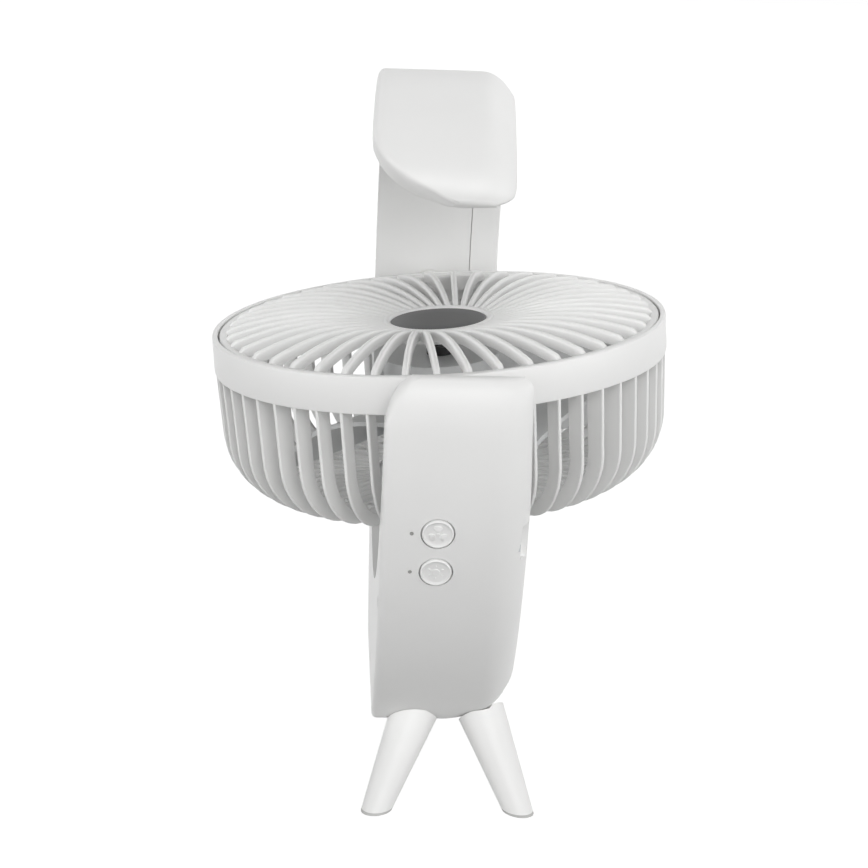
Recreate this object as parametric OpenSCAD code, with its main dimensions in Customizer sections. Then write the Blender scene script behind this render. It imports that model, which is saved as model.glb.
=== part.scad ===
// Portable camping fan: a round fan head turns on two pivots inside an upright
// C-shaped ribbon frame that stands on four short cone legs and ends in a hook.
// Millimetres. X is right, Y is back, Z is up, the floor is Z = 0 and the head's
// pivot axis runs front to back above the origin.

/* [Fan head] */

// Outside radius of the head's solid band
cage_r = 100; // [96:1:104]
// Height of the solid band
band_h = 16; // [13:1:19]
// Depth of the head from its front to the back grille
cage_depth = 73; // [68:1:76]
// Roll of the head about its pivots as it stands, right side up
head_tilt = 5; // [0:1:10]
// Blades of the side wall and back grille
blade_count = 54; // [42:2:60]
// Thickness of each side blade
blade_t = 1.5; // [1.2:0.1:1.8]
// Radial depth of each side blade
blade_depth = 9; // [7:0.5:10]
// Ribs of the front grille
rib_count = 45; // [36:1:50]
// Width of each front rib
rib_w = 2.8; // [2.2:0.1:3.2]
// Sideways offset of the front ribs from the centre, which gives the swirl
rib_swirl = 8; // [5:0.5:10]
// Rise of the front ribs between the hub and the rim
rib_rise = 5.2; // [2:0.2:6]
// Radius of the round badge in the middle of the grille
badge_r = 21.1; // [18:0.5:24]

/* [Impeller] */

// Number of fan blades
fan_blades = 5; // [4:1:7]
// Pitch of the fan blades to the plane of rotation
fan_pitch = 30; // [20:1:36]

/* [Frame] */

// Width of the ribbon, left to right
frame_w = 61; // [58:0.5:64]
// Gap between the head's band and the inside of the ring
ring_gap = 7.5; // [7.5:0.25:9]
// Thickness of the ring
ring_t = 10; // [10:0.5:13]
// Wall of the moulded shells
wall = 2.2; // [2:0.1:2.4]
// Rounding along the right outer edge
edge_r = 15.5; // [13:0.5:17]
// Radius of the bulging front and back of the lower body
body_r = 230; // [210:5:260]
// Depth of the lower body's base below the pivot axis
body_drop = 161; // [154:1:166]
// Rounding of the body's lower right corner
corner_r = 35; // [28:1:36]
// Height of the front arm's top above the pivot axis
arm_top = 10; // [9.5:0.5:12]
// Where the curl ends, forward of the top
curl_end = 48; // [45:0.5:52]
// Sideways drift of the curl per millimetre of run
curl_skew = 0.069; // [0:0.005:0.08]

/* [Legs] */

// Height of the body's base above the floor
stand_h = 32.5; // [30:0.5:40]
// Half the distance between the two front feet
foot_spread = 31; // [28:1:34]
// Half the distance between the two back feet
back_spread = 24; // [22:1:30]
// Half the distance between the feet, front to back
foot_y = 74; // [68:1:80]
// Leg radius at the foot
foot_r = 6.2; // [5.5:0.1:7]
// Leg radius at the body
leg_r = 10; // [9:0.25:10.5]

/* [Controls] */

// Radius of each button
button_r = 6.7; // [6:0.1:7.2]
// Push of each button
button_push = 0.7; // [0.5:0.1:0.9]
// Angle below the pivot at which the upper button sits
button_angle = 13.9; // [13:0.1:16]
// Angle between the buttons
button_step = 4.7; // [4.5:0.1:5.2]

/* [Hidden] */

$fn = 96;
seam = 0.15;
x0 = -26.5;
x1 = x0 + frame_w;
xm = x1 - edge_r;
xc = (x0 + x1) / 2;
plate = wall;
seam_x = 19;
ri = cage_r + ring_gap;
ro = ri + ring_t;
pz = stand_h + body_drop;
// the bulges are arcs about axes that lie beyond the other side of the ring
arc_y = body_r - ro;
cap_r = ring_t - 0.5;
arm_corner = 14;
cap_dip = asin((cap_r - arm_top) / (body_r - cap_r));
bend = 150;
tip_a = 180 + curl_end - asin(cap_r / (ro - cap_r));
tongue_a = 218;
tongue_v = ro * sin(180 + curl_end - tongue_a);
tongue_l = 41;
tongue_r = 18;
// the curl is drawn this much smaller all round than the ring it leaves
step_in = 0.3;
// and starts this many degrees inside the ring's end
lap = 0.8;
zt = band_h / 2;
zb = zt - cage_depth;
// the cover plates lie in a ledge inside the outer wall
ledge = wall + 0.4;
plate_top = arm_top - arm_corner - 2;
span = 3 * ro;
rim_r = cage_r - 3.1;
// the grille's screws stand halfway between two side blades
pitch = 360 / blade_count;
grille_at = [for (q = [45:90:315]) round(q / pitch) * pitch];
// the side wall turns in early to the back grille, so that the head swings clear of the ring
wall_top = cage_r - 0.5;
wall_low = cage_r - 1.7;
turn_r = 0.3 * cage_r;
cage_in = wall_low - blade_depth + 0.5;
motor_r = 0.22 * cage_r;
motor_h = 0.27 * cage_depth;
mount_r = 0.34 * cage_r;
fan_r = cage_in - 4;
fan_z = zt - 0.45 * cage_depth;
fan_h = 0.25 * cage_depth;
hub_r = 0.3 * fan_r;
pin_r = 4;
bush_r = 5.6;
bush_fit = 0.08;
leg_mid = xc + 3;
// half the depth of the body at its base
base_y = sqrt(body_r * body_r - body_drop * body_drop) - arc_y;
top_y = base_y + 1.4;
top_spread = 16.5;
pad_h = 1;
dot_x = -14.2;
btn_x = -3.6;
hole_r = button_r + 0.35;
port_z = -60;
port_y = -(ro - 15.5);
cell_r = 9.1;
cell_l = 65;
cell_z = -(ri + wall + cell_r + 2.6);
cell_x = xc - 1.5;
// height between the body's base and the battery tray
room = body_drop + cell_z - cell_r - 1.5;
board_w = 0.66 * frame_w;
board_h = 5 * button_r;

// ---------- frames of reference ----------

// from the pivot axis
module piv() { translate([0, 0, pz]) children(); }

// in the fan head as it stands
module head() { piv() rotate([0, -head_tilt, 0]) children(); }

// a shape drawn in Y and Z, run along X
module along_x(xa, xb) { translate([xa, 0, 0]) rotate([90, 0, 90]) linear_extrude(xb - xa) children(); }

// a shape drawn in X and Z, run along Y
module along_y(ya, yb) { translate([0, yb, 0]) rotate([90, 0, 0]) linear_extrude(yb - ya) children(); }

// turned about the X axis, from the bottom (0) through the back (90) and the top (180)
module swing(a) { rotate([0, 90, 0]) rotate([0, 0, a]) children(); }

// a section drawn in radius and X, revolved about the X axis
module sweep(a0, a1) { swing(a0) rotate_extrude(angle = a1 - a0) children(); }

// on the front bulge, z outwards and y up, at angle a below the pivot
module on_front(a, x) {
    translate([0, arc_y, pz]) swing(a - 90) translate([body_r, 0, x]) rotate([0, 90, 0]) rotate([0, 0, 180])
        children();
}

// ---------- the ribbon's outline, shrunk inwards by o ----------

module section(o, ra, rb) {
    a = ra + o;
    b = rb - o;
    rc = rb - edge_r;
    translate([a, x0 + o]) square([b - a, xm - x0 - o]);
    if (a < rc)
        translate([a, xm]) square([rc - a, edge_r - o]);
    intersection() {
        translate([rc, xm]) circle(edge_r - o);
        translate([max(a, rc), xm]) square([b - max(a, rc), edge_r - o]);
    }
}

module ring_bore(o) { along_x(x0 - 5, x1 + 5) circle(ri + o); }

// the front arm and the body below the ring
module lower_form(o) {
    cy = arc_y - (body_r - cap_r) * cos(cap_dip) - 0.15;
    cz = -(body_r - cap_r) * sin(cap_dip);
    difference() {
        intersection() {
            translate([0, arc_y, 0]) sweep(0, 360) section(o, -o, body_r);
            translate([0, -arc_y, 0]) sweep(0, 360) section(o, -o, body_r);
            along_x(x0 - 5, x1 + 5) union() {
                polygon([[-140, -(140 + arc_y) * tan(cap_dip)], [-60, -(60 + arc_y) * tan(cap_dip)],
                    [-60, 0], [140, 0], [140, -body_drop + o], [-140, -body_drop + o]]);
                translate([cy, cz]) circle(cap_r - o);
            }
            along_y(-150, 150) union() {
                translate([x0 - 5, -body_drop - 5]) square([frame_w + 5 - corner_r, body_drop + 40]);
                translate([x1 - corner_r, -body_drop + corner_r]) square([corner_r + 5, body_drop]);
                translate([x1 - corner_r + 0.6, -body_drop + corner_r - 0.6]) circle(corner_r - o);
            }
        }
        ring_bore(o);
        // the rounded left corner of the arm's top
        along_y(-ro - 8, -ri + 30) difference() {
            translate([x0 - 5, arm_top - arm_corner + 0.6]) square([arm_corner + 4.4, arm_corner + 5]);
            translate([x0 + arm_corner - 0.6, arm_top - arm_corner + 0.6]) circle(arm_corner - o);
        }
    }
}

// the outline of the curl's tongue, seen square on
module tongue(o) {
    v = tongue_v + 0.8;
    xl = x0 - 0.6;
    xr = x1 + 0.6;
    swing(tongue_a) translate([20, 0, 0]) rotate([0, 90, 0]) rotate([0, 0, 90])
        linear_extrude(ro) union() {
            translate([-150, -60]) square([150 + v - tongue_l, 120]);
            intersection() {
                translate([v - tongue_l, xl + tongue_l]) circle(tongue_l - o);
                translate([-150, -60]) square([300, 60 + xr - tongue_r]);
            }
            translate([-150, xr - tongue_r]) square([150 + v - tongue_r, 60]);
            translate([v - tongue_r, xr - tongue_r]) circle(tongue_r - o);
        }
}

module curl_form(o) {
    far = ro + 20;
    intersection() {
        sweep(bend - 3, tip_a + 12) section(o + step_in, ri, ro);
        // rounded off at the tip
        along_x(x0 - 5, x1 + 5) union() {
            polygon([[0, 0], [far * sin(bend - 8), -far * cos(bend - 8)], [0, 1.6 * far],
                [far * sin(tip_a), -far * cos(tip_a)]]);
            translate([(ro - cap_r + 0.15) * sin(tip_a), -(ro - cap_r + 0.15) * cos(tip_a)]) circle(cap_r - o);
        }
        tongue(o);
    }
}

// the curl turns a little to the left, about the radius at which it leaves the ring
module drift() { rotate(a = -atan(curl_skew), v = [0, sin(bend), -cos(bend)]) children(); }

// the quarter of space that starts at angle a
module beyond(a) { swing(a) translate([0, 0, -span / 2]) cube(span); }

// below the ring and the front arm's top, seen from the side, with its back end at height up
module below(o, up) {
    polygon([[-span, plate_top - o], [0, plate_top - o], [0, up], [span, up], [span, -body_drop + o],
        [-span, -body_drop + o]]);
}

// the lower cover's side plate and inner face, with a gap g round them
module lower_plate(g, up) {
    intersection() {
        translate([arc_y, 0]) circle(body_r - ledge - g);
        translate([-arc_y, 0]) circle(body_r - ledge - g);
        below(ledge + g, up);
    }
}

module lower_face(g, up) {
    intersection() {
        circle(ri + wall + seam - g);
        below(0.8 + g, up);
    }
}

// the curl's inner panel, with a gap g round it and e more on both faces
module curl_panel(g, e) {
    intersection() {
        sweep(bend - 4, tip_a - 1 - g) translate([ri + step_in - e, x0 + ledge + g])
            square([wall + 2 * e, seam_x - 1 - x0 - ledge - 2 * g]);
        tongue(ledge + g);
    }
}

// ---------- frame ----------

module lower_shell() {
    difference() {
        lower_form(0);
        lower_form(wall);
        along_x(x0 - 1, x0 + plate + seam) lower_plate(0, 1);
        along_x(x0 - 1, seam_x + seam) lower_face(0, 1);
    }
}

module lower_cover() {
    difference() {
        union() {
            along_x(x0, x0 + plate) lower_plate(seam, 0);
            along_x(x0, seam_x) lower_face(seam, 0);
        }
        ring_bore(0);
    }
}

module curl_shell() {
    intersection() {
        drift() difference() {
            curl_form(0);
            curl_form(wall);
            curl_panel(0, 2 * seam);
        }
        beyond(bend - lap);
    }
}

module ring_shell_section() {
    difference() {
        section(0, ri, ro);
        section(wall, ri, ro);
        translate([ri - 1, x0 - 1]) square([ring_t + 1 - ledge, 1 + plate + seam]);
        translate([ri - 1, x0 - 1]) square([1 + wall + seam, 1 + seam_x + seam - x0]);
    }
}

module ring_cover_section() {
    translate([ri, x0]) square([ring_t - ledge - seam, plate]);
    translate([ri, x0]) square([wall, seam_x - x0]);
}

// screw places: [y, z] from the pivot axis, and size
small = 0.65;
function ring_at(a) = (ri + wall + 0.3 + 3.2 * small) * [sin(a), -cos(a)];
body_screws = [[-(ri - 16), -92, 1], [ri - 16, -92, 1], [0, -body_drop + 9, 1]];
ring_screws = [for (a = [104, 142]) [ring_at(a)[0], ring_at(a)[1], small]];
screw_at = concat(body_screws, ring_screws);

module bosses(at) {
    for (p = at)
        translate([x0 + plate + seam, p[0], p[1]]) rotate([0, 90, 0]) cylinder(r = 3.2 * p[2], h = frame_w);
}

module leg_axis(side, fore) {
    // along one leg from the floor, z up the leg
    spread = fore > 0 ? foot_spread : back_spread;
    dx = side * (spread - (fore > 0 ? top_spread : 0.75 * top_spread));
    dy = -fore * (foot_y - top_y);
    len = norm([dx, dy, stand_h]);
    translate([leg_mid + side * spread, -fore * foot_y, 0])
        rotate([0, 0, atan2(-dy, -dx)]) rotate([0, acos(stand_h / len), 0]) children();
}

module port_block() {
    translate([x1 - 9, port_y - 7, port_z - 11]) cube([9, 16, 23]);
}

module port_recess() {
    // the recess has a slanted roof
    translate([x1 - 3.6, port_y, port_z]) rotate([90, 0, 90]) linear_extrude(10)
        polygon([[-10, -8.5], [5, -8.5], [5, 8.5], [-10, 5.5]]);
    translate([x1 - 12, port_y - 1.75, port_z - 4.6]) cube([12, 3.5, 9.2]);
}

// the holes for the pivots, front and back
module bush_holes() {
    for (s = [-1, 1])
        translate([0, s * (ri - 6), 0]) rotate([-90 * s, 0, 0]) cylinder(r = bush_r + 0.05, h = 12);
}

module frame_shell() {
    color("whitesmoke") piv() difference() {
        union() {
            lower_shell();
            sweep(90, bend) ring_shell_section();
            curl_shell();
            intersection() {
                lower_form(0.4);
                union() {
                    bosses(body_screws);
                    port_block();
                    for (s = [-1, 1], f = [-1, 1])
                        translate([0, 0, -pz]) leg_axis(s, f) translate([0, 0, stand_h - 4])
                            cylinder(r = 7.2, h = 4 + 0.7 * room);
                }
            }
            intersection() {
                sweep(90, bend) section(0.4, ri, ro);
                bosses(ring_screws);
            }
        }
        for (p = screw_at)
            translate([x0, p[0], p[1]]) rotate([0, 90, 0]) cylinder(r = 1.3 * p[2], h = 18);
        bush_holes();
        port_recess();
        translate([0, 0, -pz]) {
            for (s = [-1, 1], f = [-1, 1])
                leg_axis(s, f) translate([0, 0, stand_h - 8]) cylinder(r = 4.65, h = 8 + 0.62 * room);
            for (a = [button_angle, button_angle + button_step]) {
                on_front(a, btn_x) translate([0, 0, -8]) cylinder(r = hole_r, h = 12);
                on_front(a, dot_x) translate([0, 0, -8]) cylinder(r = 0.85, h = 12);
            }
        }
    }
}

module frame_cover() {
    color("white") piv() difference() {
        union() {
            lower_cover();
            sweep(90, bend - lap - 0.2) ring_cover_section();
        }
        for (p = screw_at)
            translate([x0 - 1, p[0], p[1]]) rotate([0, 90, 0]) {
                cylinder(r = 1.6 * p[2], h = 6);
                cylinder(r = 2.9 * p[2], h = 2.3);
            }
        bush_holes();
    }
}

// the curl's own inner panel, which holds the lamp
module lamp_panel() {
    color("white") piv() difference() {
        intersection() {
            drift() curl_panel(seam, 0);
            beyond(bend - lap);
        }
        lamp_place() cylinder(r = 13.3, h = 20, center = true);
    }
}

module cover_screws() {
    color("silver") piv() for (p = screw_at)
        translate([x0 + 0.1, p[0], p[1]]) rotate([0, 90, 0]) {
            cylinder(r = 2.7 * p[2], h = 1.15);
            cylinder(r = 1.2 * p[2], h = 12);
        }
}

// ---------- legs ----------

module leg(side, fore) {
    color("white") {
        difference() {
            intersection() {
                leg_axis(side, fore) translate([0, 0, -6])
                    cylinder(r1 = foot_r - 0.5, r2 = leg_r + 0.5, h = stand_h + 20);
                translate([-span / 2, -span / 2, pad_h + 0.05]) cube([span, span, stand_h + 30]);
            }
            piv() lower_form(-0.25);
        }
        intersection() {
            leg_axis(side, fore) cylinder(r = 4.5, h = stand_h + 0.5 * room);
            translate([-span / 2, -span / 2, stand_h / 3]) cube([span, span, 2 * stand_h]);
        }
    }
}

module leg_front_left() { leg(-1, 1); }
module leg_front_right() { leg(1, 1); }
module leg_back_left() { leg(-1, -1); }
module leg_back_right() { leg(1, -1); }

module foot_pads() {
    color("gray") for (s = [-1, 1], f = [-1, 1]) intersection() {
        leg_axis(s, f) translate([0, 0, -6]) cylinder(r1 = foot_r - 0.5, r2 = leg_r + 0.5, h = stand_h + 20);
        translate([-span / 2, -span / 2, 0]) cube([span, span, pad_h]);
    }
}

// ---------- controls ----------

module button_cap() {
    translate([0, 0, -wall - 0.5]) cylinder(r = button_r, h = wall + 0.9);
    translate([0, 0, -wall - 1.5]) cylinder(r = button_r + 1.1, h = 1.1);
}

module button_fan() {
    color("white") on_front(button_angle, btn_x) {
        button_cap();
        translate([0, 0, 0.2]) cylinder(r = 0.6, h = 0.65);
        for (a = [90, 210, 330]) rotate([0, 0, a]) translate([2.1, 0, 0.2]) cylinder(r = 1.35, h = 0.6);
    }
}

module button_light() {
    color("white") on_front(button_angle + button_step, btn_x) {
        button_cap();
        translate([0, 0, 0.2]) cylinder(r = 1.5, h = 0.6);
        for (a = [0:60:300]) rotate([0, 0, a]) translate([2.3, -0.25, 0.2]) cube([1.1, 0.5, 0.6]);
    }
}

module indicator_pipes() {
    color("lightgray") for (a = [button_angle, button_angle + button_step])
        on_front(a, dot_x) translate([0, 0, -6]) cylinder(r = 0.75, h = 6.1);
}

module board_frame() { on_front(button_angle + button_step / 2, 0) children(); }

module control_board() {
    color("darkgreen") difference() {
        board_frame() translate([-board_w / 2, -0.5 * board_h, -10.6]) cube([board_w, 0.97 * board_h, 1.6]);
        for (a = [button_angle, button_angle + button_step])
            on_front(a, dot_x) translate([0, 0, -12]) cylinder(r = 0.9, h = 6);
    }
}

module tact_switches() {
    color("dimgray") for (s = [-1, 1])
        board_frame() translate([btn_x, s * body_r * sin(button_step / 2), -8.95]) {
            translate([-3, -3, 0]) cube([6, 6, 3.1]);
            cylinder(r = 1.6, h = 3.9);
        }
}

module usb_port() {
    color("silver") piv() translate([x1 - 11.4, port_y - 1.6, port_z - 4.45]) difference() {
        cube([7.6, 3.2, 8.9]);
        translate([1, 0.35, 0.35]) cube([8, 2.5, 8.2]);
    }
}

// ---------- power ----------

module battery_cells() {
    color("steelblue") piv() for (sx = [-1, 1], sy = [-1, 1])
        translate([cell_x + sx * (cell_r + 0.3), sy * (cell_l / 2 + 0.5), cell_z]) rotate([90, 0, 0])
            cylinder(r = cell_r, h = cell_l, center = true);
}

module battery_tray() {
    color("gray") piv() difference() {
        translate([cell_x - 2 * cell_r - 1.6, -cell_l - 3, cell_z - cell_r - 1.5])
            cube([4 * cell_r + 3.2, 2 * cell_l + 6, cell_r + 0.5]);
        for (sx = [-1, 1])
            translate([cell_x + sx * (cell_r + 0.3), 0, cell_z]) rotate([90, 0, 0])
                cylinder(r = cell_r + 0.1, h = 2 * cell_l + 2, center = true);
        translate([cell_x - 15, -0.45 * cell_l, cell_z - cell_r - 5]) cube([30, 0.9 * cell_l, 12]);
    }
}

// ---------- lamp under the curl ----------

module lamp_place() { drift() swing(192) translate([ri, 0, -3]) rotate([0, 90, 0]) children(); }

module lamp_lens() {
    color("ghostwhite") piv() lamp_place() {
        cylinder(r = 13, h = wall + 1.2);
        translate([0, 0, wall + 0.6]) cylinder(r = 14.6, h = 1);
    }
}

module lamp_board() {
    color("khaki") piv() lamp_place() translate([0, 0, wall + 2.2]) cylinder(r = 13.5, h = 1.2);
}

// ---------- pivots ----------

// along the pivot axis outwards from the head, front (-1) or back (1)
module on_pivot(s) { piv() rotate([-90 * s, 0, 0]) children(); }

module pivot_bushes() {
    color("dimgray") for (s = [-1, 1]) on_pivot(s) difference() {
        union() {
            translate([0, 0, ri - 0.3]) cylinder(r = bush_r, h = wall + 1.8);
            translate([0, 0, ri + wall + 0.1]) cylinder(r = bush_r + 0.8, h = 1);
        }
        translate([0, 0, ri - 2]) cylinder(r = pin_r + bush_fit, h = 12);
    }
}

module pivot_pins() {
    color("silver") for (s = [-1, 1]) on_pivot(s) difference() {
        union() {
            translate([0, 0, cage_r - 1.5]) cylinder(r = pin_r, h = ri + wall + 4.2 - cage_r + 1.5);
            translate([0, 0, cage_r - 2.45]) cylinder(r = pin_r + 1.6, h = 1.1);
        }
        translate([0, 0, cage_r - 5]) cylinder(r = 2.2, h = 30);
    }
}

module pivot_clips() {
    color("silver") for (s = [-1, 1]) on_pivot(s) difference() {
        translate([0, 0, ri + wall + 2.2]) cylinder(r = 5.8, h = 0.9);
        translate([0, 0, ri + wall]) cylinder(r = pin_r + 0.02, h = 6);
    }
}

module pivot_washers() {
    color("black") for (s = [-1, 1]) on_pivot(s) difference() {
        translate([0, 0, ri - 1.5]) cylinder(r = 2 * pin_r, h = 0.8);
        translate([0, 0, ri - 3]) cylinder(r = pin_r + 0.1, h = 6);
    }
}

// ---------- fan head ----------

// the bowl inside a wall of radius ra at the band and rb lower down, turned in by c
module bowl(ra, rb, c, low) {
    polygon([[0, zt - band_h + 1], [ra, zt - band_h + 1], [rb, low + c], [0, low + c]]);
    translate([0, low]) square([rb - c, c]);
    intersection() {
        translate([rb - c, low + c]) circle(c);
        translate([0, low]) square([rb + 1, c + 1]);
    }
}

module side_blade() {
    rotate([90, 0, 0]) linear_extrude(blade_t, center = true) difference() {
        bowl(wall_top, wall_low, turn_r, zb + 0.3);
        translate([0, 0.01]) bowl(wall_top - blade_depth, cage_in, turn_r - 5, zb + 4.5);
        translate([-1, zb - 1]) square([mount_r, 2 * cage_depth]);
    }
}

module rear_cage() {
    color("whitesmoke") head() difference() {
        union() {
            for (i = [0:blade_count - 1])
                rotate([0, 0, (i + 0.5) * 360 / blade_count]) side_blade();
            // the solid band with the seat of the grille
            translate([0, 0, zt - band_h]) rotate_extrude() {
                translate([cage_r - 2.5, 0]) square([2.5, band_h]);
                translate([cage_r - 9.8, 0]) square([9.8, 2.2]);
            }
            // rings of the back grille
            for (r = [mount_r - 0.5, 0.55 * cage_r])
                rotate_extrude() translate([r, zb + 0.7]) square([3, 2.8]);
            // motor plate
            translate([0, 0, zb]) cylinder(r = mount_r, h = 3);
            for (s = [-1, 1]) rotate([-90 * s, 0, 0]) translate([0, 0, cage_r - 2]) cylinder(r = 7.6, h = ring_gap + 0.1);
        }
        for (s = [-1, 1]) rotate([-90 * s, 0, 0]) {
            translate([0, 0, cage_r - 6]) cylinder(r = pin_r + 0.02, h = ring_gap + 6);
            translate([0, 0, cage_r - 12]) cylinder(r = pin_r + 1.7, h = 10.7);
        }
        for (i = [0:3]) rotate([0, 0, i * 90 + 45]) translate([14, 0, zb - 1]) cylinder(r = 1.4, h = 6);
        for (q = grille_at) rotate([0, 0, q]) translate([rim_r - 3, 0, zt - band_h - 1]) cylinder(r = 1.3, h = 6);
    }
}

// one rib along X: a bar with a bevelled top, bent up in an arc between the hub and the rim
module front_rib() {
    xa = badge_r + 0.9;
    xb = rim_r - 2.2;
    mid = (xa + xb) / 2;
    sag = rib_rise;
    bow = (pow((xb - xa) / 2, 2) + pow(sag, 2)) / (2 * sag);
    half = asin((xb - xa) / 2 / bow);
    translate([mid, 0, zt + 0.5 + sag - bow]) rotate([90, 0, 0]) rotate([0, 0, 90 - half])
        rotate_extrude(angle = 2 * half) polygon([[bow - 4.2, -rib_w / 2], [bow - 0.9, -rib_w / 2],
            [bow, -rib_w / 4], [bow, rib_w / 4], [bow - 0.9, rib_w / 2], [bow - 4.2, rib_w / 2]]);
}

module front_grille() {
    color("white") head() difference() {
        union() {
            for (i = [0:rib_count - 1])
                rotate([0, 0, i * 360 / rib_count]) translate([0, -rib_swirl, 0]) front_rib();
            rotate_extrude() {
                translate([rim_r - 3.6, zt - 8]) square([3.6, 7.4]);
            }
            translate([0, 0, zt - 6]) cylinder(r = badge_r + 3.4, h = 4.7);
            for (q = grille_at) rotate([0, 0, q]) translate([rim_r - 3, 0, zt - band_h + 2.3])
                cylinder(r = 2.6, h = band_h - 8);
        }
        for (q = grille_at) rotate([0, 0, q]) translate([rim_r - 3, 0, zt - band_h]) cylinder(r = 1.1, h = 8);
    }
}

module hub_badge() {
    color("dimgray") head() translate([0, 0, zt - 1.25]) cylinder(r = badge_r, h = 1.15);
}

module grille_screws() {
    color("silver") head() for (q = grille_at) rotate([0, 0, q])
        translate([rim_r - 3, 0, zt - band_h - 1.3]) {
            cylinder(r = 2.3, h = 1.2);
            cylinder(r = 1, h = 7);
        }
}

// ---------- motor and impeller ----------

module motor() {
    color("darkgray") head() difference() {
        union() {
            translate([0, 0, zb + 3.1]) cylinder(r = motor_r, h = motor_h);
            translate([0, 0, zb + 3 + motor_h]) cylinder(r = 0.3 * motor_r, h = 3);
        }
        translate([0, 0, zb]) cylinder(r = 2.05, h = motor_h + 10);
        for (i = [0:3]) rotate([0, 0, i * 90 + 45]) translate([14, 0, zb]) cylinder(r = 1.15, h = 8);
    }
}

module motor_screws() {
    color("silver") head() for (i = [0:3]) rotate([0, 0, i * 90 + 45]) translate([14, 0, zb - 1.3]) {
        cylinder(r = 2.4, h = 1.25);
        cylinder(r = 1.1, h = 8);
    }
}

module motor_shaft() {
    color("silver") head() translate([0, 0, zb + 3.5]) cylinder(r = 2, h = fan_z + fan_h + 2 - zb - 3.5);
}

module fan_blade() {
    // a curved plate, pitched and cut to the sweep of the fan
    intersection() {
        translate([0, 0, fan_z - fan_h]) difference() {
            cylinder(r = fan_r, h = 2 * fan_h);
            translate([0, 0, -1]) cylinder(r = hub_r - 3, h = 2 * fan_h + 2);
        }
        translate([hub_r, 0, fan_z]) rotate([fan_pitch, 0, 0]) translate([-hub_r, 0, 0]) intersection() {
            translate([0, 0, 2 - 0.7 * fan_r]) rotate([0, 90, 0]) difference() {
                cylinder(r = 0.7 * fan_r, h = fan_r + 4);
                translate([0, 0, -1]) cylinder(r = 0.7 * fan_r - 1.8, h = fan_r + 8);
            }
            rotate([0, 0, 4]) translate([0, -0.36 * fan_r, -fan_h]) cube([fan_r + 10, 0.72 * fan_r, 2 * fan_h + 4]);
        }
    }
}

module impeller() {
    color("gainsboro") head() difference() {
        union() {
            for (i = [0:fan_blades - 1]) rotate([0, 0, i * 360 / fan_blades + 12]) fan_blade();
            difference() {
                translate([0, 0, fan_z - fan_h + 1]) cylinder(r = hub_r, h = 2 * fan_h - 2);
                translate([0, 0, fan_z - fan_h]) cylinder(r = hub_r - 2, h = 2 * fan_h - 3);
            }
            translate([0, 0, fan_z - 3]) cylinder(r = 6, h = fan_h + 1);
        }
        translate([0, 0, zb]) cylinder(r = 2.02, h = cage_depth);
    }
}

module impeller_nut() {
    color("dimgray") head() difference() {
        translate([0, 0, fan_z + fan_h - 0.9]) cylinder(r = 6, h = 3.6);
        translate([0, 0, fan_z]) cylinder(r = 2.02, h = cage_depth);
    }
}

frame_shell();
frame_cover();
lamp_panel();
cover_screws();
leg_front_left();
leg_front_right();
leg_back_left();
leg_back_right();
foot_pads();
button_fan();
button_light();
indicator_pipes();
control_board();
tact_switches();
usb_port();
battery_cells();
battery_tray();
lamp_lens();
lamp_board();
pivot_bushes();
pivot_pins();
pivot_clips();
pivot_washers();
rear_cage();
front_grille();
hub_badge();
grille_screws();
motor();
motor_screws();
motor_shaft();
impeller();
impeller_nut();
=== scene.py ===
"""Portable camping fan: finishes, moulded details, floor, light and camera around its solids."""

import math

import bmesh
import bpy
from mathutils import Matrix, Vector


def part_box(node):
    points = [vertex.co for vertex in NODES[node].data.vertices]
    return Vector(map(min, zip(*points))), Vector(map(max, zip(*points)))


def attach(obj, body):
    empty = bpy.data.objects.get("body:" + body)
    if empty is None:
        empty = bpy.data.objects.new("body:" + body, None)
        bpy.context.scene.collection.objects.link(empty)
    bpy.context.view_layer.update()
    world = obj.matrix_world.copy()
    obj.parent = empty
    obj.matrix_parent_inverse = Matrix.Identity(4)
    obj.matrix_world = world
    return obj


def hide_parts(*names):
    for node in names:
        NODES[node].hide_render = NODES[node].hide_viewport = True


bl_info = {
    "name": "Camping fan finish",
    "version": (1, 0, 0),
    "blender": (4, 5, 0),
    "location": "3D View > Sidebar > Fan",
    "description": "Finishes a portable camping fan: plastics, grille, cage, buttons, stage",
    "category": "Object",
}

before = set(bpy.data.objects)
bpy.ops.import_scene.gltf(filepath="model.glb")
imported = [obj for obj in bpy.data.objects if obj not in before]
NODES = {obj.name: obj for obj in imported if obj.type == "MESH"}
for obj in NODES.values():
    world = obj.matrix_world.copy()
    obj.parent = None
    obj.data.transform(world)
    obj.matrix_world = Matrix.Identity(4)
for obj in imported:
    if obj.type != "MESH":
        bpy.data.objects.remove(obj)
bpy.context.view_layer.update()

# the pivots' height, in metres
PIVOT_Z = sum(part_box("pivot_bushes")[k].z for k in (0, 1)) / 2
HEAD_TILT = math.radians(5.0)

# Lengths are in mm and angles in degrees, unless a comment says otherwise.
MM = 0.001


# ---------- the ribbon ----------
# A section of the frame is taken at an angle a round the pivots, from the bottom (0) through the back (90)
# to the curl, with the front arm at negative angles. Its points are a radius r and an X. The letter o is how
# far inside the outer skin a face lies.

INNER, OUTER = 107.5, 117.5  # the ring's inside and outside faces
LEFT, RIGHT = -26.5, 34.5
EDGE, CURL_EDGE = 15.5, 18.5  # width of the rounding along the right side, on the ring and on the curl
ROLL = 2.3  # 2 would roll the ends in along an ellipse, more is squarer
END_GAP = 0.25  # what a rolled end keeps of the thickness
WALL = 2.2

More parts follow.
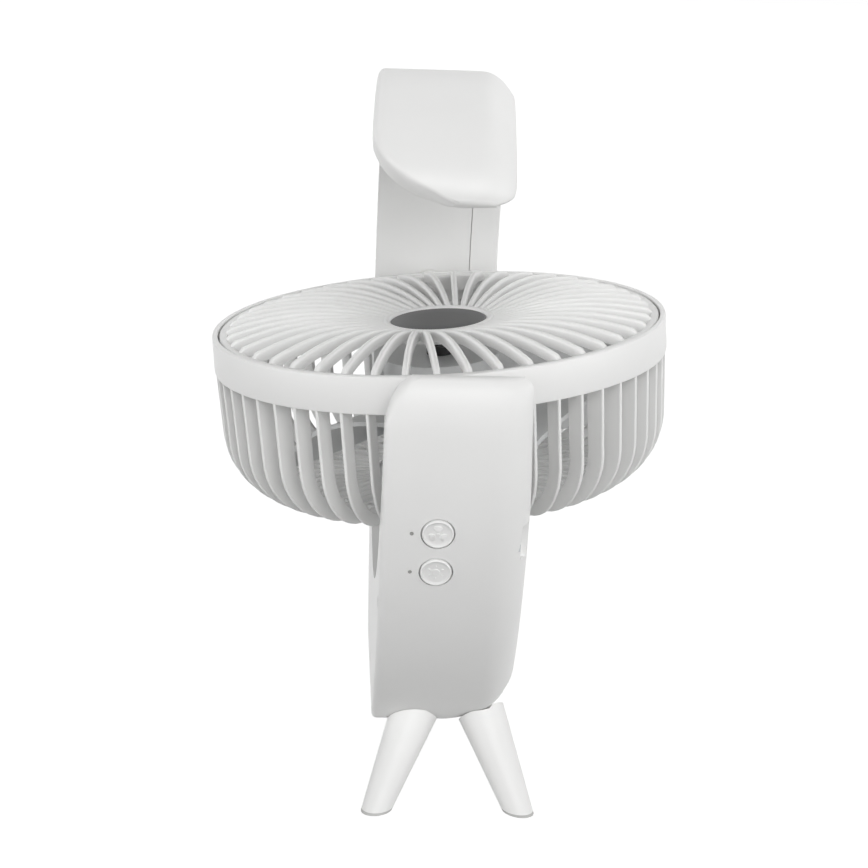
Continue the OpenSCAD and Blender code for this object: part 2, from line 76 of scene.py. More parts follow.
# body: its front and back are arcs about far centres, its bottom is flat with a rounded right-hand side
BULGE, BULGE_Y = 230.0, 112.5
DROP = 161.0
CORNER, CORNER_X, CORNER_DROP = 35.0, 0.1, 126.6
BOTTOM_FROM = -0.2  # the bottom counts where a section points down more than this
ARC_BLEND, BOTTOM_BLEND = 0.5, 3.0

# front arm: where its end starts to roll in, where it ends, and its two top corners
ARM_SOFT, ARM_TIP = -83.0, -95.3
ARM_LEFT_WIDE, ARM_LEFT_TALL, ARM_LEFT_Z = 14.0, 23.0, -12.4
ARM_RIGHT_ROUND, ARM_RIGHT_Z = 5.6, 4.5

# curl: it starts at the bend, grows wider, leans and droops to the right and is turned to the left
BEND, CURL_SOFT, CURL_TIP = 150.0, 219.4, 228.0
CURL_GROWTH, CURL_WIDER = 30.0, 1.4
CURL_LEAN, LEAN_GROWTH, LEAN_POWER = 2.0, 25.0, 1.2
CURL_DROOP, DROOP_GROWTH, DROOP_X, DROOP_WIDTH = 6.5, 24.0, 19.5, 16.0
CURL_TURN, TURN_GROWTH = math.radians(-3.947), 4.0
TONGUE_ANGLE = 218.0  # the end's corners are drawn as seen square on at this angle
CURL_LEFT_ROUND, CURL_LEFT_X, CURL_LEFT_FROM = 41.0, 13.9, -19.8
CURL_RIGHT_ROUND, CURL_RIGHT_FROM, CURL_RIGHT_SHARE = 18.0, 3.2, 0.35
TIP_LEFT_ROUND, TIP_LEFT_FROM = 6.0, 12.7
TIP_RIGHT_ROUND, TIP_RIGHT_FROM = 7.0, 11.7
BOW, BOW_FROM, BOW_X, BOW_WIDTH, BOW_MOST = 0.7, 205.0, 14.0, 13.0, 1.6

# the side plates lie in a ledge between these angles, and the moulding's inside face is its own beyond them
ARM_CLOSED, COVER_START, COVER_END, PANEL_END = -86.4, -85.55, 149.1, 221.95
LEDGE, ARM_LEDGE = 2.6, 2.35
SEAM_X, SEAM_GAP, PANEL_LIP = 19.15, 0.15, 18.0

# edges: softness of the inner and the left edge on the skin, and of the hollow's edges
INNER_SOFT, LEFT_SOFT = 0.9, 2.2
ARM_SOFTER, ARM_SOFTER_FROM, ARM_SOFTER_GROWTH = 3.0, -85.6, -4.0
CURL_SOFTER, CURL_SOFTER_GROWTH = 0.6, 20.0
HOLLOW_INNER_SOFT, HOLLOW_LEFT_SOFT = 0.15, 0.25
# where the moulding is thin: the largest shares of its thickness that these edges, the foot of the right
# edge and the wall may take
THIN_INNER, THIN_LEFT, THIN_FOOT, THIN_WALL = 0.3, 0.55, 0.08, 0.3
TOP_X = 1.5  # the outer radius at the left side is read this far in

# where the sections lie, as first angle, last angle and spacing: close together where the outline turns
STRETCHES = (
    (-80.5, -24, 2.5),
    (-22.2, -12.9, 0.6),
    (-11.4, 11.5, 3),
    (12.9, 22.3, 0.6),
    (24, 89, 2.5),
    (90, 147, 3),
    (151, 205, 3),
    (206, 218.9, 1.2),
)


def clamp(value):
    return max(0.0, min(1.0, value))


def ramp(value, start, length):
    """0 at the start, 1 a length further on, and a straight line between; the length may be negative."""
    return clamp((value - start) / length)


def eased(share):
    """The same share with a soft start and end."""
    return share * share * (3 - 2 * share)


def soft_min(a, b, blend):
    """The smaller of two lengths, with the change from one to the other softened."""
    h = clamp(0.5 + 0.5 * (b - a) / blend)
    return b + (a - b) * h - blend * h * (1 - h)


def corner_cut(past, radius):
    """How far a side draws in at a distance past the start of a rounded corner."""
    return radius - math.sqrt(max(0.0, radius**2 - max(0.0, past) ** 2))


def tongue(a, r):
    """How far a place on the curl lies towards its end, seen square on."""
    return r * math.sin(math.radians(a - TONGUE_ANGLE))


def left_side(a, r, o):
    """The X of the left side, with the arm's tall top corner and the curl's lower left one."""
    x = LEFT + o
    if a < 0:
        z = -r * math.cos(math.radians(a))
        share = ramp(z, ARM_LEFT_Z, ARM_LEFT_TALL - o)
        x += (ARM_LEFT_WIDE - o) * corner_cut(share, 1)
    if a > BEND:
        t = tongue(a, r)
        x = CURL_LEFT_X - CURL_LEFT_ROUND + o + corner_cut(t - CURL_LEFT_FROM, CURL_LEFT_ROUND - o)
        x += corner_cut(t - TIP_LEFT_FROM, TIP_LEFT_ROUND)
    return max(x, LEFT + o)


def right_side(a):
    """The X of the skin's right side, with the arm's top corner and the curl's lower right one."""
    x = RIGHT
    if a < 0:
        z = -INNER * math.cos(math.radians(a))
        x -= corner_cut(z - ARM_RIGHT_Z, ARM_RIGHT_ROUND)
    if a > BEND:
        t = tongue(a, INNER)
        x += CURL_WIDER * ramp(a, BEND, CURL_GROWTH)
        x -= CURL_RIGHT_SHARE * corner_cut(t - CURL_RIGHT_FROM, CURL_RIGHT_ROUND)
        x -= corner_cut(t - TIP_RIGHT_FROM, TIP_RIGHT_ROUND)
    return x


def edge_width(a):
    """The curl's right edge is rounded over a wider strip than the ring's."""
    return EDGE + (CURL_EDGE - EDGE) * ramp(a, BEND, CURL_GROWTH)


def edge_dip(a, x, o):
    """How far the outside face falls off at X by the rounding along its right side."""
    width = edge_width(a)
    share = clamp((x - right_side(a) + width) / (width - o))
    return (EDGE - o) * corner_cut(share, 1)


def droop(a, x):
    """How far the curl's right-hand part hangs below a plain arch."""
    return CURL_DROOP * eased(ramp(a, BEND, DROOP_GROWTH)) * max(0.0, (x - DROOP_X) / DROOP_WIDTH) ** 2


def rolled_in(r, o, share):
    """A radius of the outside face, brought down to the inside face at a share of the way to an end."""
    low = INNER + o + END_GAP
    left_over = max(0.0, 1 - share**ROLL) ** (1 / ROLL)
    return low + (r - low) * left_over if r > low else r


def outer_face(a, x, o):
    """The outer radius of the section at X."""
    dip = edge_dip(a, x, o)
    if a >= 90:
        across = max(0.0, (x - LEFT) / (RIGHT - LEFT))
        dip += CURL_LEAN * ramp(a, BEND, LEAN_GROWTH) * across**LEAN_POWER
        return rolled_in(OUTER - o - dip, o, ramp(a, CURL_SOFT, CURL_TIP - CURL_SOFT))
    y, z = math.sin(math.radians(a)), -math.cos(math.radians(a))
    reach = []
    for centre in (BULGE_Y, -BULGE_Y):
        dot = y * centre
        reach.append(dot + math.sqrt(dot * dot - centre * centre + (BULGE - o - dip) ** 2))
    r = soft_min(reach[0], reach[1], ARC_BLEND)
    if z < BOTTOM_FROM:
        low = DROP - o
        if x > CORNER_X:
            low = min(low, CORNER_DROP + math.sqrt(max(0.0, (CORNER - o) ** 2 - (x - CORNER_X) ** 2)))
        r = soft_min(r, low / -z, BOTTOM_BLEND)
    return rolled_in(r, o, ramp(a, ARM_SOFT, ARM_TIP - ARM_SOFT))


def left_softness(a):
    """The left edge's rounding, softer at the arm's top and on the curl."""
    more = ARM_SOFTER * ramp(a, ARM_SOFTER_FROM, ARM_SOFTER_GROWTH)
    return LEFT_SOFT + more + CURL_SOFTER * ramp(a, BEND, CURL_SOFTER_GROWTH)


def left_lip(a, o, soft, closed):
    """The inside face from its lip to the left side, and the edge between them."""
    inner = INNER + o
    side = left_side(a, inner, o)
    lip = left_side(a, INNER, LEDGE)
    if closed:
        lip = (SEAM_X if a < 0 else PANEL_LIP) - 0.01
    lip = max(lip, side + soft + 0.1)
    points = [(inner, lip + (side + soft - lip) * k / 2) for k in range(3)]
    for q in (math.radians(30), math.radians(60)):
        points.append((inner + soft * (1 - math.cos(q)), side + soft * (1 - math.sin(q))))
    return points


def right_edge(a, o, start, thick, end_r):
    """The rounding of the right side, from an X where it starts down to the radius end_r."""
    reach = right_side(a) - o - thick - start
    turn = 90.0
    if outer_face(a, start + reach, o) < end_r:
        # it meets the inside face before it stands upright, so the turn is found by halving
        low = 0.0
        for _ in range(30):
            half = (low + turn) / 2
            if outer_face(a, start + reach * math.sin(math.radians(half)), o) < end_r:
                turn = half
            else:
                low = half
    points = []
    for k in range(1, 13):
        x = start + reach * math.sin(math.radians(turn * k / 12))
        points.append((max(outer_face(a, x, o), end_r), x))
    return points


def ribbon_side(a, o, thick=0.0):
    """The moulding's face at offset o, from its left lip over the outside to its right lip, with the
    right wall thicker by so much."""
    inner = INNER + o
    left = left_side(a, OUTER - o, o)
    for _ in range(6):
        left = (left + left_side(a, outer_face(a, left + TOP_X, o), o)) / 2
    top = outer_face(a, left + TOP_X, o)
    room = max(0.02, top - inner)
    inner_soft = min(HOLLOW_INNER_SOFT if o else INNER_SOFT, THIN_INNER * room)
    outer_soft = min(HOLLOW_LEFT_SOFT if o else left_softness(a), THIN_LEFT * room)
    last = top - outer_soft

    points = []
    closed = a < ARM_CLOSED or a > PANEL_END
    if a > COVER_END or closed:
        points += left_lip(a, o, inner_soft, closed)
        first, count = inner + inner_soft, 4
    else:
        first = INNER + ARM_LEDGE if a < COVER_START else outer_face(a, LEFT + 2, 0) - LEDGE
        first, count = min(first, last - 0.05), 9
    for k in range(count):
        r = first + (last - first) * k / (count - 1)
        points.append((r, left_side(a, r, o)))
    for k in range(1, 6):
        q = math.radians(18 * k)
        x = left + outer_soft * (1 - math.cos(q))
        points.append((outer_face(a, x, o) - outer_soft * (1 - math.sin(q)), x))

    start = left + outer_soft
    end = max(right_side(a) - edge_width(a), start + 0.5)
    for k in range(1, 11):
        x = start + (end - start) * k / 10
        points.append((outer_face(a, x, o), x))
    points += right_edge(a, o, end, thick, inner + inner_soft + THIN_FOOT * room)

    high, side = points[-1]
    points += [(high + (inner + inner_soft - high) * k / 3, side) for k in (1, 2, 3)]
    for q in (math.radians(30), math.radians(60)):
        points.append((inner + inner_soft * (1 - math.sin(q)), side - inner_soft * (1 - math.cos(q))))
    lip = min(SEAM_X + SEAM_GAP if a < COVER_END else PANEL_LIP, side - inner_soft - 0.1)
    points += [(inner, side - inner_soft + (lip - side + inner_soft) * k / 4) for k in range(5)]
    return [(r - droop(a, x), x) for r, x in points]


def on_ribbon(a, r, x):
    """A place from the pivots; the curl's end is bowed, and the curl is turned a little to the left."""
    if a > BOW_FROM:
        across = min(BOW_MOST, ((x - BOW_X) / BOW_WIDTH) ** 2)
        a -= BOW * across * ((a - BOW_FROM) / (CURL_TIP - BOW_FROM)) ** 3
    q = math.radians(a)
    place = Vector((x, r * math.sin(q), -r * math.cos(q)))
    if a > BEND:
        bend = math.radians(BEND)
        axis = Vector((0, math.sin(bend), -math.cos(bend)))
        place = Matrix.Rotation(CURL_TURN * eased(ramp(a, BEND, TURN_GROWTH)), 3, axis) @ place
    return place


def ribbon_angles():
    """The angles of the sections, with a pair close together at each change of the section's form."""
    angles = [BEND]
    for change in (ARM_CLOSED, COVER_START, COVER_END, PANEL_END):
        angles += [change - 0.02, change + 0.02]
    for first, last, spacing in STRETCHES:
        count = round((last - first) / spacing)
        angles += [first + (last - first) * k / count for k in range(count + 1)]
    for soft, tip, count in ((ARM_SOFT, ARM_TIP, 14), (CURL_SOFT, CURL_TIP, 24)):
        angles += [soft + (tip - soft) * math.sin(math.radians(90 * k / count)) for k in range(count + 1)]
    angles.sort()
    return [a for k, a in enumerate(angles) if k == 0 or a - angles[k - 1] > 0.015]


# ---------- small tools ----------


def hex_linear(code):
    """An sRGB hex colour as linear red, green, blue and alpha."""
    parts = [int(code[k : k + 2], 16) / 255 for k in (0, 2, 4)]
    return (*[c / 12.92 if c <= 0.04045 else ((c + 0.055) / 1.055) ** 2.4 for c in parts], 1.0)


def add_node(tree, kind, settings=None, links=None):
    """One shader node with its settings, and links given as {input: output socket}."""
    node = tree.nodes.new(kind)
    for key, value in (settings or {}).items():
        if isinstance(key, str) and hasattr(node, key):
            setattr(node, key, value)
        else:
            node.inputs[key].default_value = value
    for key, socket in (links or {}).items():
        tree.links.new(socket, node.inputs[key])
    return node


def new_material(name):
    """A material and its empty node tree."""
    material = bpy.data.materials.new(name)
    material.use_nodes = True
    material.node_tree.nodes.clear()
    return material, material.node_tree


def finish_material(tree, shader):
    add_node(tree, "ShaderNodeOutputMaterial", links={"Surface": shader.outputs[0]})


def coat(obj, material):
    """The whole object in one material."""
    obj.data.materials.clear()
    obj.data.materials.append(material)


def only(obj):
    """The one selected and active object."""
    bpy.ops.object.select_all(action="DESELECT")
    obj.select_set(True)
    bpy.context.view_layer.objects.active = obj


def edit(obj):
    """Edit mode on one object, with all of it selected."""
    only(obj)
    bpy.ops.object.mode_set(mode="EDIT")
    bpy.ops.mesh.select_all(action="SELECT")


def leave():
    """Back to object mode."""
    bpy.ops.object.mode_set(mode="OBJECT")


def settle(obj, name, angle):
    """Name the piece, put its place into its mesh and smooth its rounded faces."""
    only(obj)
    obj.name = name
    bpy.ops.object.transform_apply(location=True, rotation=True, scale=True)
    bpy.ops.object.shade_smooth_by_angle(angle=math.radians(angle))


def into_head(obj):
    """From the head's own frame, with its axis up, to the head as it stands."""
    only(obj)
    tilt = Matrix.Rotation(-HEAD_TILT, 4, "Y")
    obj.matrix_world = Matrix.Translation((0, 0, PIVOT_Z)) @ tilt @ obj.matrix_world
    bpy.ops.object.transform_apply(location=True, rotation=True, scale=True)


def join(first, others):
    """The others become part of the first."""
    only(first)
    for other in others:
        other.select_set(True)
    bpy.ops.object.join()


def copies_round(obj, count, first=0.0):
    """Copies of a piece round the head's axis, each with its own mesh, all joined into one."""
    made = [obj]
    for k in range(1, count):
        twin = obj.copy()
        twin.data = obj.data.copy()
        bpy.context.collection.objects.link(twin)
        twin.rotation_euler = (0, 0, k * 2 * math.pi / count)
        made.append(twin)
    for one in made:
        one.rotation_euler[2] += math.radians(first)
    join(obj, made)
    bpy.ops.object.transform_apply(location=True, rotation=True, scale=True)
    return obj


def cylinder(radius, height, place=(0, 0, 0), vertices=64, lying=False):
    """A cylinder by its middle, upright or lying along Y."""
    bpy.ops.object.select_all(action="DESELECT")
    bpy.ops.mesh.primitive_cylinder_add(
        vertices=vertices,
        radius=radius * MM,
        depth=height * MM,
        location=Vector(place) * MM,
        rotation=(math.pi / 2 if lying else 0, 0, 0),
    )
    return bpy.context.object


def soften(obj, width):
    """Round all edges of a small part."""
    edit(obj)
    bpy.ops.mesh.bevel(offset=width * MM, segments=2)
    leave()


def turned(name, outline, segments=144):
    """A ring turned round the head's axis from its closed outline, given as radius and height."""
    bpy.ops.object.select_all(action="DESELECT")
    bpy.ops.mesh.primitive_plane_add(size=MM)
    ring = bpy.context.object
    ring.name = name
    edit(ring)
    bpy.ops.mesh.delete(type="VERT")
    mesh = bmesh.from_edit_mesh(ring.data)
    dots = [mesh.verts.new((r * MM, 0, z * MM)) for r, z in outline]
    for a, b in zip(dots, dots[1:] + dots[:1]):
        mesh.edges.new((a, b))
    bmesh.update_edit_mesh(ring.data)
    bpy.ops.mesh.select_all(action="SELECT")
    bpy.ops.mesh.spin(steps=segments, angle=2 * math.pi, center=(0, 0, 0), axis=(0, 0, 1))
    bpy.ops.mesh.select_all(action="SELECT")
    bpy.ops.mesh.remove_doubles(threshold=0.02 * MM)
    bpy.ops.mesh.normals_make_consistent(inside=False)
    leave()
    return ring


def bridged(name, sections):
    """A bar that starts as one face and is extruded from section to section. Each section is a list of
    corners, all in the same order."""
    bpy.ops.object.select_all(action="DESELECT")
    bpy.ops.mesh.primitive_circle_add(vertices=len(sections[0]), radius=MM, fill_type="NGON")
    bar = bpy.context.object
    bar.name = name
    edit(bar)
    mesh = bmesh.from_edit_mesh(bar.data)
    mesh.verts.ensure_lookup_table()
    for corner, place in zip(mesh.verts, sections[0]):
        corner.co = Vector(place) * MM
    bmesh.update_edit_mesh(bar.data)
    for k in range(1, len(sections)):
        bpy.ops.mesh.extrude_region_move()
        mesh = bmesh.from_edit_mesh(bar.data)
        mesh.verts.ensure_lookup_table()
        ends = [v for v in mesh.verts if v.select]
        previous = [Vector(place) * MM for place in sections[k - 1]]
        for corner in ends:
            near = min(range(len(previous)), key=lambda i: (previous[i] - corner.co).length_squared)
            corner.co = Vector(sections[k][near]) * MM
        bmesh.update_edit_mesh(bar.data)
    bpy.ops.mesh.select_all(action="SELECT")
    bpy.ops.mesh.normals_make_consistent(inside=False)
    leave()
    return bar


def carve(obj, cutter):
    """Take the cutter's shape out of the object and delete the cutter."""
    only(obj)
    bpy.ops.object.modifier_add(type="BOOLEAN")
    cut = obj.modifiers[-1]
    cut.operation = "DIFFERENCE"
    cut.solver = "EXACT"
    cut.object = cutter
    bpy.ops.object.modifier_apply(modifier=cut.name)
    only(cutter)
    bpy.ops.object.delete()


# ---------- materials ----------

MOTTLE = 38  # size of the flow mottle
ZINC_GRAIN = 0.4
PLASTIC_IOR = 1.53


def moulded_abs(name, tone, shade, roughness, grain_mm, depth):
    """Injection-moulded plastic: an even body colour with a faint flow mottle, and the fine grain that a
    spark-eroded mould leaves, drawn a little coarser than life so that it shows."""
    material, tree = new_material(name)
    coord = add_node(tree, "ShaderNodeTexCoord")
    mottle = add_node(
        tree,
        "ShaderNodeTexNoise",
        {"Scale": 1 / (MOTTLE * MM), "Detail": 2.0, "Roughness": 0.5},
        {"Vector": coord.outputs["Object"]},
    )
    colour = add_node(
        tree,
        "ShaderNodeMix",
        {"data_type": "RGBA", 6: tuple(tone), 7: tuple(shade)},
        {0: mottle.outputs["Fac"]},
    )
    grain = add_node(
        tree,
        "ShaderNodeTexNoise",
        {"Scale": 1 / (grain_mm * MM), "Detail": 3.0, "Roughness": 0.6},
        {"Vector": coord.outputs["Object"]},
    )
    rough = add_node(
        tree,
        "ShaderNodeMapRange",
        {"To Min": roughness - 0.04, "To Max": roughness + 0.05},
        {"Value": grain.outputs["Fac"]},
    )
    bump = add_node(
        tree,
        "ShaderNodeBump",
        {"Strength": 0.25, "Distance": depth * MM},
        {"Height": grain.outputs["Fac"]},
    )
    shader = add_node(
        tree,
        "ShaderNodeBsdfPrincipled",
        {"IOR": PLASTIC_IOR, "Subsurface Weight": 0.0},
        {
            "Base Color": colour.outputs[2],
            "Roughness": rough.outputs["Result"],
            "Normal": bump.outputs["Normal"],
        },
    )
    finish_material(tree, shader)
    return material


def zinc_steel():
    """Zinc-plated steel: a bright bluish grey metal, whose fine drawn grain blurs its reflections."""
    material, tree = new_material("zinc_plated_steel")
    coord = add_node(tree, "ShaderNodeTexCoord")
    grain = add_node(
        tree,
        "ShaderNodeTexNoise",
        {"Scale": 1 / (ZINC_GRAIN * MM), "Detail": 4.0},
        {"Vector": coord.outputs["Object"]},
    )
    rough = add_node(
        tree,
        "ShaderNodeMapRange",
        {"To Min": 0.24, "To Max": 0.42},
        {"Value": grain.outputs["Fac"]},
    )
    shader = add_node(
        tree,
        "ShaderNodeBsdfPrincipled",
        {"Base Color": hex_linear("B9BBBE"), "Metallic": 1.0},
        {"Roughness": rough.outputs["Result"]},
    )
    finish_material(tree, shader)
    return material


# name, colour, second colour of the mottle, roughness, and size and depth of the grain
PLASTICS = {
    # white ABS with a satin face: bright and even, with wide soft highlights
    "frame_abs": ("frame_abs_satin_white", "F2F2F1", "EDEDEC", 0.42, 0.35, 0.012),
    # the same white from a smoother mould: ribs and blades catch a slightly sharper light
    "cage_abs": ("cage_abs_white", "F3F3F2", "EFEFEE", 0.36, 0.5, 0.008),
    # buttons are almost smooth, so that their rims and symbols draw a small clear highlight
    "button_abs": ("button_abs_white", "F3F3F2", "EFEFEE", 0.30, 0.5, 0.004),
    # a dark neutral grey with a matt bloom, which lets the hub stand out from the white
    "badge_abs": ("badge_abs_grey", "3E3E3F", "39393A", 0.42, 0.4, 0.006),
    # impeller blades: white plastic like the cage, coloured a pale cool grey as painted shade of their place
    # behind the grille, and a little glossier than the cage in front of them
    "fan_abs": ("impeller_abs_pale_grey", "D9DADA", "D3D4D4", 0.30, 0.6, 0.006),
    # rubbery elastomer: no clear highlight at all, only a soft sheen
    "pad_tpe": ("pad_tpe_grey", "C6C6C4", "BDBDBB", 0.75, 0.3, 0.03),
    # natural nylon: a milky, slightly warm white with a waxy sheen
    "white_nylon": ("white_nylon", "EDEDEA", "E8E8E5", 0.5, 0.4, 0.01),
    # filled nylon: a near black that greys a little where light grazes it
    "black_nylon": ("black_nylon", "262627", "1F1F20", 0.5, 0.4, 0.01),
    # polished acrylic over an unlit hole: grey, with a small sharp highlight
    "pipe_acrylic": ("pipe_acrylic", "A2A29E", "9A9A96", 0.18, 0.6, 0.002),
    # glass laminate under green solder mask: deep green with a lacquer's gloss
    "board_laminate": ("board_glass_laminate", "14502E", "0F4427", 0.35, 0.8, 0.004),
    # shrink film stretched tight round a cell: smooth, glossy blue
    "cell_sleeve": ("cell_shrink_sleeve", "2E63A0", "28588F", 0.3, 0.8, 0.004),
    # frosted acrylic: a flat, faintly warm white that hides what is behind it
    "lens_acrylic": ("lens_frosted_acrylic", "F1F1EC", "ECECE6", 0.5, 0.3, 0.01),
}

NODE_FINISH = {
    "frame_abs": [
        "frame_shell",
        "frame_cover",
        "lamp_panel",
        "leg_front_left",
        "leg_front_right",
        "leg_back_left",
        "leg_back_right",
    ],
    "cage_abs": ["rear_cage", "front_grille"],
    "button_abs": ["button_fan", "button_light"],
    "badge_abs": ["hub_badge"],
    "fan_abs": ["impeller"],
    "pad_tpe": ["foot_pads"],
    "white_nylon": ["pivot_bushes", "pivot_washers"],
    "black_nylon": ["tact_switches", "battery_tray", "impeller_nut"],
    "pipe_acrylic": ["indicator_pipes"],
    "board_laminate": ["control_board", "lamp_board"],
    "cell_sleeve": ["battery_cells"],
    "lens_acrylic": ["lamp_lens"],
    "steel": [
        "cover_screws",
        "usb_port",
        "pivot_pins",
        "pivot_clips",
        "grille_screws",
        "motor",
        "motor_screws",
        "motor_shaft",
    ],
}

MADE = {}  # the name of the material that was made for each key


def material_named(key):
    """The material for a key, made when it is first asked for."""
    made = bpy.data.materials.get(MADE.get(key, ""))
    if made is None and key == "steel":
        made = zinc_steel()
    elif made is None:
        name, tone, shade, *surface = PLASTICS[key]
        tones = (hex_linear(tone), hex_linear(shade))
        settings = bpy.context.scene.fan_finish
        if key == "frame_abs":
            tones = (settings.frame_colour, settings.frame_mottle)
        if key == "badge_abs":
            tones = (settings.badge_colour, settings.badge_mottle)
        made = moulded_abs(name, *tones, *surface)
    MADE[key] = made.name
    return made


# ---------- settings ----------


def colour_setting(name, description, code):
    """A colour property, from its sRGB hex value."""
    return bpy.props.FloatVectorProperty(
        name=name,
        description=description,
        subtype="COLOR",
        size=4,
        min=0.0,
        max=1.0,
        default=hex_linear(code),
    )


def length_setting(name, description, default, least, most):
    """A length property in metres, from its values in mm."""
    return bpy.props.FloatProperty(
        name=name,
        description=description,
        subtype="DISTANCE",
        precision=4,
        default=default * MM,
        min=least * MM,
        max=most * MM,
    )


class FanFinishSettings(bpy.types.PropertyGroup):
    """Sizes and colours that a user would change."""

    rib_count: bpy.props.IntProperty(
        name="Ribs", description="Number of ribs of the front grille", default=45, min=30, max=60
    )
    rib_width: length_setting("Rib width", "Width of a front rib", 2.7, 2.0, 3.4)
    rib_rise: length_setting("Rib rise", "Crown of the front ribs", 5.2, 2.0, 6.0)
    rib_swirl: length_setting("Rib swirl", "Sideways offset of the front ribs", 8.0, 4.0, 12.0)
    blade_count: bpy.props.IntProperty(
        name="Blades", description="Number of blades of the cage's side", default=54, min=40, max=60
    )
    blade_width: length_setting("Blade thickness", "Thickness of a side blade", 1.5, 1.2, 1.8)
    frame_colour: colour_setting("Frame", "Colour of the frame's plastic", PLASTICS["frame_abs"][1])
    frame_mottle: colour_setting("Frame mottle", "Second tone of the frame", PLASTICS["frame_abs"][2])
    badge_colour: colour_setting("Badge", "Colour of the hub's badge", PLASTICS["badge_abs"][1])
    badge_mottle: colour_setting("Badge mottle", "Second tone of the badge", PLASTICS["badge_abs"][2])
    lamp_level: bpy.props.FloatProperty(
        name="Lamp level",
        description="Strength of the studio lamps",
        default=1.0,
        min=0.1,
        max=3.0,
    )


# ---------- the solids ----------


class FAN_OT_plastics(bpy.types.Operator):
    """Give every solid its real material"""

    bl_idname = "fan.plastics"
    bl_label = "Finish the solids"

    def execute(self, context):
        for key, names in NODE_FINISH.items():
            for name in names:
                coat(NODES[name], material_named(key))
        return {"FINISHED"}


# ---------- buttons and badge ----------

# the controls' angles on the body's front, and their X
BUTTON_ANGLES = (13.9, 18.6)
BUTTON_X, DOT_X = -3.6, -14.2
BUTTON_HOLE, DOT_HOLE = 7.05, 0.85  # radii

# outlines of the cap and the badge, as radius and height
CAP = [
    (0, 0.2),
    (4.6, 0.25),
    (5.3, 0.36),
    (5.65, 0.62),
    (5.95, 0.72),
    (6.25, 0.6),
    (6.45, 0.25),
    (6.45, -2.65),
    (7.7, -2.65),
    (7.8, -2.75),
    (7.8, -3.6),
    (7.7, -3.7),
    (0, -3.7),
]
BADGE = [
    (0, 6.75),
    (20.8, 6.75),
    (21.1, 7.0),
    (21.1, 7.55),
    (20.75, 7.9),
    (20.2, 8.0),
    (12, 8.1),
    (0, 8.15),
]
RAY = [(2.5, -0.28), (3.5, -0.22), (3.6, 0.0), (3.5, 0.22), (2.5, 0.28)]
PETAL_X, PETAL_LONG, PETAL_WIDE, PETAL_EGG = 2.45, 1.35, 1.75, 0.3
FAN_HUB, LAMP_DISC = 0.75, 1.75  # radii
MARK_FOOT, MARK_EDGE, MARK_TOP = 0.1, 0.42, 0.52  # heights of a symbol
MARK_SHRINK = 0.93  # size of its top


def disc(radius):
    """The outline of a small round."""
    turns = [math.radians(30 * k) for k in range(12)]
    return [(radius * math.cos(q), radius * math.sin(q)) for q in turns]


def petal():
    """One blade of the fan symbol: an egg shape beside the middle."""
    points = []
    for k in range(18):
        q = math.radians(20 * k)
        across = PETAL_WIDE * math.sin(q) * (1 + PETAL_EGG * math.cos(q))
        points.append((PETAL_X + PETAL_LONG * math.cos(q), across))
    return points


def symbol_parts(kind):
    """The outlines of a symbol, each with its turn."""
    if kind == "fan":
        return [(petal(), 90), (petal(), 210), (petal(), 330), (disc(FAN_HUB), 0)]
    return [(disc(LAMP_DISC), 0)] + [(RAY, 60 * k + 30) for k in range(6)]


def raised_mark(outline, turn):
    """One part of a symbol, which stands up from the cap's face and is a little smaller at its top."""
    c, s = math.cos(math.radians(turn)), math.sin(math.radians(turn))
    flat = [(x * c - y * s, x * s + y * c) for x, y in outline]
    mid_x, mid_y = (sum(values) / len(flat) for values in zip(*flat))
    small = [(mid_x + (x - mid_x) * MARK_SHRINK, mid_y + (y - mid_y) * MARK_SHRINK) for x, y in flat]
    layers = ((flat, MARK_FOOT), (flat, MARK_EDGE), (small, MARK_TOP))
    return bridged("mark", [[(x, y, z) for x, y in layer] for layer, z in layers])


def on_bulge(angle, x):
    """Where a control sits on the front: its X is right, its Y up the face and its Z outwards."""
    q = math.radians(angle)
    out = Vector((0, -math.cos(q), -math.sin(q)))
    up = Vector((0, -math.sin(q), math.cos(q)))
    place = Vector((x, BULGE_Y, 0)) * MM + out * BULGE * MM + Vector((0, 0, PIVOT_Z))
    turn = Matrix((Vector((1, 0, 0)), up, out)).transposed().to_4x4()
    return Matrix.Translation(place) @ turn


class FAN_OT_buttons(bpy.types.Operator):
    """Two push buttons with a raised rim, a dished face and a symbol, and the hub's badge"""

    bl_idname = "fan.buttons"
    bl_label = "Buttons and badge"

    def execute(self, context):
        for kind, angle in zip(("fan", "light"), BUTTON_ANGLES):
            button = turned("button_" + kind + "_cap", CAP, 64)
            join(button, [raised_mark(outline, turn) for outline, turn in symbol_parts(kind)])
            button.matrix_world = on_bulge(angle, BUTTON_X)
            settle(button, "button_" + kind + "_cap", 40)
            coat(button, material_named("button_abs"))
            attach(button, "button_" + kind)
            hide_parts("button_" + kind)
        badge = turned("badge_disc", BADGE, 96)
        into_head(badge)
        settle(badge, "badge_disc", 40)
        coat(badge, material_named("badge_abs"))
        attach(badge, "head")
        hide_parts("hub_badge")
        return {"FINISHED"}


# ---------- frame moulding ----------

MIDDLE_X = 10.0
# the wall is thicker behind the charging port, fading out at this angle to each side
PORT_ANGLE, PORT_WALL, PORT_SPAN, PORT_FADE = -60.0, 5.8, 8.5, 2.0
PORT_Y, PORT_Z = -102.0, -60.0
# the port's cuts: outlines as Y and Z from its middle, and their reach in X
PORT_CUTS = (
    ("recess", ((-10, -8.5), (5, -8.5), (5, 8.5), (-10, 5.5)), RIGHT - 3.6, RIGHT + 8),
    ("slot", ((-1.75, -4.6), (1.75, -4.6), (1.75, 4.6), (-1.75, 4.6)), RIGHT - 12, RIGHT),
)
# the front pivot: the bush's hole, and room for the pin's end behind the outer wall, as radius, near and far
PIVOT_BORES = ((5.7, 103.5, 111.5), (4.25, 108.0, 114.3))


